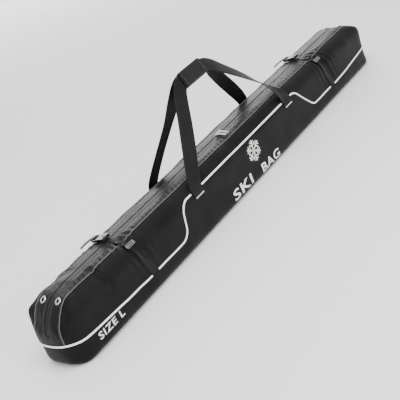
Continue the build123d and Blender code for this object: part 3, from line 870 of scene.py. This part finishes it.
# The spare end of each strap leaves its buckle and turns away to the near end
tail = {
    "width": 21, "thickness": 1.9,
    "route": ((0, 1, 1.2), (0, 8, 2.2), (8, 18, 5), (22, 30, 9.5), (40, 41, 17)),     # turned, away and fallen
}
for word, strap in straps.items():
    low, high = nodeCorners(word + "_strap_tail")
    controls = [np.array([strap["x"] - turned, low[1] + away, high[2] - fall])
                for turned, away, fall in tail["route"]]
    line = smoothLine(controls, 2)
    ups = unit(np.stack([np.linspace(0, -0.28, len(line)), np.linspace(0.14, 0.45, len(line)),
                         np.ones(len(line))], -1))
    dress(sweep(word + "StrapTail", line, ups, band(tail["width"], tail["thickness"]), webbing),
          word + "_buckle_male", [word + "_strap_tail"])
print("straps threaded")


# Handles
frontGripY, backGripY = -3, 3.6        # the back loop lies behind the wrap
flatUp = np.array([0, -math.cos(handle["lean"]), math.sin(handle["lean"])])


def footLine(x, side):
    # up the side panel from the sewn end to the fold, lying on the cloth
    heights = np.linspace(handle["footZ"], handle["pivotZ"] - 2, 10)
    spots = np.stack([0 * heights + x, side * sideY(heights), heights], -1)
    line = onBag(spots, strapBand["lift"] + handle["thickness"] / 2)
    return line, bagNormals(line)


def handleLoop(name, side, gripY, leftLeg, rightLeg):
    lines = []
    for x, leg in ((-handle["x"], leftLeg), (handle["x"], rightLeg)):
        foot, footUps = footLine(x, side)
        rows = [np.concatenate([spot, up]) for spot, up in zip(foot[::3], footUps[::3])]
        lines.append(rows + [np.array(row, float) for row in leg])
    # through the wrap the webbing lies level, its flat side leaning back
    grip = [np.array([handle["gripX"] + x, gripY, handle["gripZ"], *(flatUp * -side)])
            for x in handle["gripSpots"]]
    controls = lines[0] + grip + lines[1][::-1]
    line = smoothLine(controls, 3)
    pinched = np.exp(-((line[:, 0] - handle["gripX"]) / handle["pinchLength"]) ** 4)
    narrow = 1 - handle["pinch"] * pinched * (line[:, 2] > handle["pinchFromZ"])
    piece = sweep(name, line[:, :3], unit(line[:, 3:]), band(handle["width"], handle["thickness"], 12), webbing,
                  narrow)
    word = "front" if side == front else "back"
    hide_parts(word + "_handle_webbing", word + "_handle_feet")
    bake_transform(piece)


# Each row is a place, and the way that the webbing's outer face looks there
handleLoop("frontHandle", front, frontGripY, [
    (-284, -88, 176, 0, -0.93, 0.36), (-262, -77, 206, -0.1, -0.9, 0.4), (-214, -57, 266, -0.2, -0.87, 0.44),
    (-166, -35, 322, -0.18, -0.88, 0.44), (-122, -14, 378, -0.1, -0.9, 0.42), (-97, -6, 411, -0.05, -0.92, 0.4),
], [
    (287, -87, 178, 0.05, -0.93, 0.36), (272, -80, 202, 0.25, -0.75, 0.6), (236, -61, 254, 0.52, -0.4, 0.75),
    (188, -36, 312, 0.33, -0.58, 0.74), (134, -16, 366, 0.2, -0.72, 0.66), (88, -5, 407, 0.15, -0.85, 0.48),
])
handleLoop("backHandle", back, backGripY, [
    (-284, 88, 176, 0, 0.95, 0.3), (-264, 79, 206, 0, 0.93, 0.34), (-216, 60, 264, -0.05, 0.93, 0.34),
    (-168, 42, 318, -0.1, 0.93, 0.2), (-126, 22, 374, -0.05, 0.93, -0.15), (-96, 9, 410, 0, 0.93, -0.34),
], [
    (285, 88, 176, 0, 0.95, 0.3), (266, 80, 204, 0, 0.93, 0.34), (218, 62, 258, 0.1, 0.92, 0.36),
    (162, 42, 318, 0.1, 0.93, 0.2), (106, 20, 374, 0.05, 0.93, -0.15), (74, 9, 410, 0, 0.93, -0.34),
])

# White bar tacks across the feet
tack = {"length": 42, "z": 137, "size": (3.8, 1.7, 1.1), "spacing": 1.5, "lift": 0.35}
rows = []
for side in (front, back):
    for x in (-handle["x"], handle["x"]):
        steps = np.arange(-tack["length"] / 2, tack["length"] / 2 + 0.1, tack["spacing"])
        spots = np.array([(x + step, side * sideY(tack["z"]), tack["z"]) for step in steps])
        spots = onBag(spots, strapBand["lift"] + handle["thickness"] + tack["lift"])
        rows.append((spots, np.tile([0.35, 0, 1.0], (len(spots), 1)), bagNormals(spots)))
dress(repeatAlong("handleTacks", *gather(rows), tack["size"], tackThread), "bag", ["handle_tack_strips"])

# Padded wrap, closed round the front loop with a hook-and-loop flap
wrap = {"length": 120, "width": 55, "frontDepth": 5.4, "backDepth": 3.1, "wall": 1.5, "puff": 1.5, "wrinkle": 0.45}
flapSize = {"inset": 5, "lift": 1.0, "wall": 1.6, "bevel": 0.6}
flapStitch = {"inset": 9, "lift": 1.95, "spacing": 3.6, "size": (2.7, 0.8, 0.7)}


def wrapSection(x, grow=0.0):
    # a flattened ring whose faces swell between its ends
    share = abs(x) / (wrap["length"] / 2)
    swell = wrap["puff"] * (1 - share ** 4)
    turns = np.linspace(0, 2 * math.pi, 56, endpoint=False)
    across = np.sign(np.cos(turns)) * np.abs(np.cos(turns)) ** 0.8 * (wrap["width"] / 2 + grow)
    outward = np.sin(turns) > 0
    deep = np.abs(np.sin(turns)) ** 0.55 * (np.where(outward, wrap["frontDepth"], wrap["backDepth"]) + grow)
    wrinkle = wrap["wrinkle"] * np.sin(x / 5.5 + across / 9) * np.exp(-((share - 0.86) / 0.16) ** 2)
    deep = np.where(outward, deep + swell * np.clip(1 - (across / wrap["width"] * 2) ** 2, 0, 1) + wrinkle, -deep)
    return across, deep


acrossAxis = np.array([0, math.sin(handle["lean"]), math.cos(handle["lean"])])


def wrapSurface(xs, grow=0.0, part=slice(None)):
    rings = []
    for x in xs:
        across, deep = wrapSection(x, grow)
        ring = np.array([handle["gripX"] + x, frontGripY, handle["gripZ"]]) + np.outer(across, acrossAxis) \
            + np.outer(deep, flatUp)
        rings.append(ring[part])
    return np.array(rings)


def wrapCover(name, rings, clothSize, closed):
    # cloth over rings of points, clothSize its length round them and along them in metres
    around, along = (np.linspace(0, size, count) for size, count in zip(clothSize, rings.shape[1::-1]))
    uv = np.stack(np.meshgrid(around, along), -1).reshape(-1, 2)
    cover = makeMesh(name, rings.reshape(-1, 3), gridFaces(*rings.shape[:2], closedColumns=closed), uv, wrapCloth)
    mergeAndTurn(cover)
    return cover


def alongWrap(inset, count):
    return np.linspace(-wrap["length"] / 2 + inset, wrap["length"] / 2 - inset, count)


sleeve = wrapCover("handleWrap", wrapSurface(alongWrap(0, 50)), (0.15, 0.12), True)
addWall(sleeve, wrap["wall"], -1)
dress(sleeve, "front_handle", ["handle_wrap"])
flapPart = np.r_[50:56, 0:22]        # the part of each ring that the flap covers
flapRings = wrapSurface(alongWrap(flapSize["inset"], 40), flapSize["lift"], flapPart)
flap = wrapCover("wrapFlap", flapRings, (0.08, 0.11), False)
addWall(flap, flapSize["wall"], 0)
edge = flap.modifiers.new("edge", "BEVEL")
edge.width = flapSize["bevel"] * mm
edge.segments = 2
dress(flap, "front_handle", [])
inner = wrapSurface(alongWrap(flapStitch["inset"], 30), flapStitch["lift"], flapPart)[:, 8:]
edgeRow = evenly(np.concatenate([inner[0, :], inner[1:-1, -1], inner[-1, ::-1]]), flapStitch["spacing"])
dress(repeatAlong("wrapStitches", edgeRow, unit(np.gradient(edgeRow, axis=0)), np.tile(flatUp, (len(edgeRow), 1)),
                  flapStitch["size"], stitchThread), "front_handle", [])
print("handles and wrap made")


# Small hardware
def lathe(name, profile, places, material, steps=36):
    # turns a closed profile of (radius, height) pairs about each place's own axis
    parts = []
    profile = np.asarray(profile, float)
    for centre, axis in places:
        side = unit(np.cross(axis, [0.0, 1.0, 0.0]))
        other = np.cross(axis, side)
        turns = np.linspace(0, 2 * math.pi, steps, endpoint=False)
        spokes = np.cos(turns)[:, None] * side + np.sin(turns)[:, None] * other
        vertices = centre + spokes[:, None] * profile[None, :, :1] + axis * profile[None, :, 1:]
        piece = makeMesh(name, vertices.reshape(-1, 3),
                         gridFaces(steps, len(profile), closedRows=True, closedColumns=True), None, material)
        mergeAndTurn(piece, 0.001)
        parts.append(piece)
    return joinPieces(name, parts)


# Rolled lip and barrel of a 10 mm grommet, then the flat washer behind the cloth, as (radius, height)
grommetSection = [(5.0, -3.6), (5.0, 1.2), (5.5, 2.1), (6.6, 2.5), (8.0, 2.3), (9.6, 1.6), (10.8, 0.7), (11.0, 0.2),
                  (10.2, -0.1), (6.2, 0.1), (5.9, -3.6)]
washerSection = [(6.2, -3.7), (10, -3.7), (10, -3.0), (6.2, -3.0)]
dress(lathe("eyeletRings", grommetSection, eyeletPlaces, nickel), "bag", ["eyelet_grommets"])
dress(lathe("eyeletWashers", washerSection, eyeletPlaces, nickel), "bag", ["eyelet_washers"])


buckleTilt = 8        # degrees that the buckles lean back


def paintNodes(finishes):
    for nodeName, material in finishes.items():
        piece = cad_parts[nodeName]
        for place in piece.material_slots:
            place.material = material


for word in straps:
    paintNodes({word + "_buckle_female": acetal, word + "_buckle_male": acetal, word + "_adjuster": greyAcetal,
                word + "_slider": nickel, word + "_pull_tab": tabRubber})

# Ridges that the thumb presses on the buckles
ridge = {"length": 15, "width": 1.5, "height": 1.2, "fromFront": 9.5, "sink": 1.3, "spacing": 3}
for word, strap in straps.items():
    low, high = nodeCorners(word + "_buckle_female")
    tilt = math.radians(buckleTilt)
    slope = np.array([0, math.cos(tilt), -math.sin(tilt)])
    normal = np.array([0, math.sin(tilt), math.cos(tilt)])
    start = np.array([strap["x"], low[1] + ridge["fromFront"], high[2] - ridge["sink"]])
    rows = [(start + slope * ridge["spacing"] * row, [1.0, 0, 0], normal) for row in range(3)]
    ridges = repeatAlong(word + "BuckleRidges", *map(np.array, zip(*rows)),
                         (ridge["length"], ridge["width"], ridge["height"]), acetal)
    dress(ridges, "bag", [])
print("hardware set")


# Printing on the lower panel
ink = {"lift": 0.35, "thickness": 0.3, "longestEdge": 5}


def layOnPanel(name, curve, place, stretch=1.0):
    # a flat curve in millimetres along the bag and up it, laid on the front of the lower panel
    flat = addObject(name, curve)
    mesh = bpy.data.meshes.new_from_object(flat.evaluated_get(bpy.context.evaluated_depsgraph_get()))
    bpy.data.objects.remove(flat)
    work = bmesh.new()
    work.from_mesh(mesh)
    bmesh.ops.remove_doubles(work, verts=work.verts, dist=0.01)
    bmesh.ops.triangulate(work, faces=work.faces)
    for _ in range(3):
        long = [edge for edge in work.edges if edge.calc_length() > ink["longestEdge"]]
        bmesh.ops.subdivide_edges(work, edges=long, cuts=1)
    bmesh.ops.triangulate(work, faces=work.faces)
    flatPoints = np.array([vertex.co[:] for vertex in work.verts]) * (stretch, 1, 1)
    spots = np.stack([place[0] + flatPoints[:, 0], 0 * flatPoints[:, 0] - shell["halfWidth"],
                      place[1] + flatPoints[:, 1]], -1)
    for vertex, spot in zip(work.verts, onBag(spots, ink["lift"])):
        vertex.co = spot * mm
    bmesh.ops.recalc_face_normals(work, faces=work.faces)
    if work.faces[:][0].normal.y > 0:
        bmesh.ops.reverse_faces(work, faces=work.faces)
    made = bpy.data.meshes.new(name)
    work.to_mesh(made)
    work.free()
    made.materials.append(printInk)
    piece = addObject(name, made)
    addWall(piece, ink["thickness"], 0)
    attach(piece, "bag")
    return piece


def printed(name, outline, place):
    curve = bpy.data.curves.new(name, "CURVE")
    curve.dimensions = "2D"
    curve.fill_mode = "BOTH"
    spline = curve.splines.new("POLY")
    spline.points.add(len(outline) - 1)
    for point, (x, z) in zip(spline.points, outline):
        point.co = (x, z, 0, 1)
    spline.use_cyclic_u = True
    return layOnPanel(name, curve, place)


def bar(start, end, width):
    # a straight stroke with a pointed end
    start, end = np.array(start, float), np.array(end, float)
    way = unit(end - start)
    side = np.array([-way[1], way[0]]) * width / 2
    return [start - side, end - side, end + way * width * 0.5, end + side, start + side]


# Six branches with two pairs of twigs; each twig's share is how far out it grows, then its length
flake = {"size": 38, "width": 5, "hub": 3.5, "place": (30, 106), "twigs": ((0.45, 13), (0.72, 9)), "twigGap": 3.4}
outlines = []
for turn in np.arange(6) * math.pi / 3 + math.pi / 6:
    way = np.array([math.cos(turn), math.sin(turn)])
    outlines.append(bar(way * flake["hub"], way * flake["size"], flake["width"]))
    for lean in (-1, 1):
        for share, reach in flake["twigs"]:
            root = way * flake["size"] * share
            twig = np.array([math.cos(turn + lean), math.sin(turn + lean)])
            outlines.append(bar(root + twig * flake["twigGap"], root + twig * (flake["twigGap"] + reach),
                                flake["width"] * 0.7))
joinPieces("snowflakeMark", [printed(f"snowflakeMark{index}", outline, flake["place"])
                             for index, outline in enumerate(outlines)])

lettering = {"boldness": 0.018, "spacing": 1.1}
labels = {
    "bagWords": {"words": "SKI", "size": 50, "stretch": 1.75, "place": (-150, 17)},
    "bagWordsEnd": {"words": "BAG", "size": 46, "stretch": 1.3, "place": (34, 12)},
    "sizeWords": {"words": "SIZE L", "size": 30, "stretch": 1.3, "place": (-858, 36)},
}
for name, label in labels.items():
    text = bpy.data.curves.new(name, "FONT")
    text.body = label["words"]
    text.size = label["size"]
    text.offset = label["size"] * lettering["boldness"]
    text.space_character = lettering["spacing"]
    text.resolution_u = 3
    layOnPanel(name, text, label["place"], label["stretch"])
print("printing laid on")


# Stage, light and camera
stage = {"floorSize": 14, "floorColour": "#f6f5f3", "skyColour": "#f4f6f9", "skyStrength": 1.25, "lit": (0, 0, 0.1)}
half = stage["floorSize"]
floor = makeMesh("floor", np.array([(-half, -half, 0), (half, -half, 0), (half, half, 0), (-half, half, 0)]) / mm,
                 [(0, 1, 2, 3)], None, moulded("paleFloor", stage["floorColour"], 0.02, 4, Roughness=0.7))

world = bpy.data.worlds.new("studio")
world.use_nodes = True
world.node_tree.nodes["Background"].inputs["Color"].default_value = srgb(stage["skyColour"])
world.node_tree.nodes["Background"].inputs["Strength"].default_value = stage["skyStrength"]
bpy.context.scene.world = world

# A soft box overhead, a wide window behind the far end that grazes the gusset, and a fill in front
softLights = {
    "overhead": {"place": (-0.6, -0.8, 3.0), "size": (2.6, 1.6), "power": 90},
    "windowBehind": {"place": (4.6, 4.9, 1.9), "size": (5.4, 1.9), "power": 240},
    "frontFill": {"place": (-1.2, -3.2, 1.6), "size": (2.4, 1.6), "power": 55},
}
for name, light in softLights.items():
    lamp = bpy.data.lights.new(name, "AREA")
    lamp.shape = "RECTANGLE"
    lamp.size, lamp.size_y = light["size"]
    lamp.energy = light["power"]
    place = Vector(light["place"])
    turn = (place - Vector(stage["lit"])).to_track_quat("Z", "Y")
    addObject(name, lamp).matrix_world = Matrix.LocRotScale(place, turn, None)

camera = {
    "place": (-1.9633, -1.7824, 1.2232),
    "right": (0.53797, -0.76373, -0.35680),
    "up": (0.55193, -0.00080, 0.83389),
    "back": (-0.63715, -0.64553, 0.42110),
    "lens": 75.8,
}
lens = bpy.data.cameras.new("camera")
lens.lens = camera["lens"]
lens.sensor_width = 36
lens.sensor_fit = "HORIZONTAL"
viewer = addObject("camera", lens)
axes = Matrix([camera["right"], camera["up"], camera["back"]]).transposed()
viewer.matrix_world = Matrix.Translation(camera["place"]) @ axes.to_4x4()
bpy.context.scene.camera = viewer
